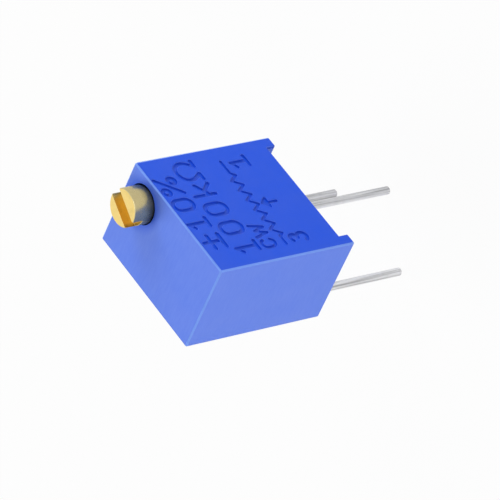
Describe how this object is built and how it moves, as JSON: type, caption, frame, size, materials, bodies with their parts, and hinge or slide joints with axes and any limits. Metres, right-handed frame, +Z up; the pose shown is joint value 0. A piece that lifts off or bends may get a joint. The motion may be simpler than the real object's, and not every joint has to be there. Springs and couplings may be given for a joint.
{
  "type": "trimmer potentiometer",
  "caption": "Small square multi-turn trimmer potentiometer in a blue moulded case, with a slotted brass adjusting screw on top and round wire terminals below.",
  "frame": {"origin": "middle of the seating plane under the two feet, where the part stands on its circuit board", "axes": "+Z up along the adjusting screw, away from the board; the marked face looks towards -Y and the potted back towards +Y; terminal 1 is on the +X side and terminal 3 on the -X side"},
  "size_m": [0.0068, 0.0044, 0.0132],
  "materials": {
    "housing_blue": "satin",
    "screw_brass": "satin",
    "seal_rubber": "matte",
    "retainer_steel": "satin",
    "rotor_plastic": "satin",
    "wiper_metal": "satin",
    "alumina": "matte",
    "resistor_film": "satin",
    "conductor_film": "satin",
    "tinned_wire": "satin",
    "solder": "satin",
    "potting": "satin"
  },
  "bodies": {
    "case": {"housing": "housing_blue", "screw_retainer": "retainer_steel", "element_substrate": "alumina", "resistance_track": "resistor_film", "collector_track": "conductor_film", "end_pad_1": "conductor_film", "end_pad_3": "conductor_film", "terminal_pin_1": "tinned_wire", "terminal_pin_2": "tinned_wire", "terminal_pin_3": "tinned_wire", "solder_joint_1": "solder", "solder_joint_2": "solder", "solder_joint_3": "solder", "epoxy_seal": "potting"},
    "screw": {"adjusting_screw": "screw_brass", "screw_seal_ring": "seal_rubber"},
    "rotor": {"rotor_gear": "rotor_plastic", "wiper_spring": "wiper_metal"}
  },
  "joints": [
    {"name": "screw_turn", "type": "hinge", "parent": "case", "child": "screw", "pos_m": [0.00209, -0.00098, 0.0073], "axis": [0, 0, -1], "range_deg": [-2160, 2160]},
    {"name": "rotor_turn", "type": "hinge", "parent": "case", "child": "rotor", "pos_m": [-0.0005, -0.00098, 0.00384], "axis": [0, -1, 0], "range_deg": [-135, 135]}
  ],
  "couplings": [
    {"joint": "rotor_turn", "follows": "screw_turn", "ratio": 0.0625}
  ]
}
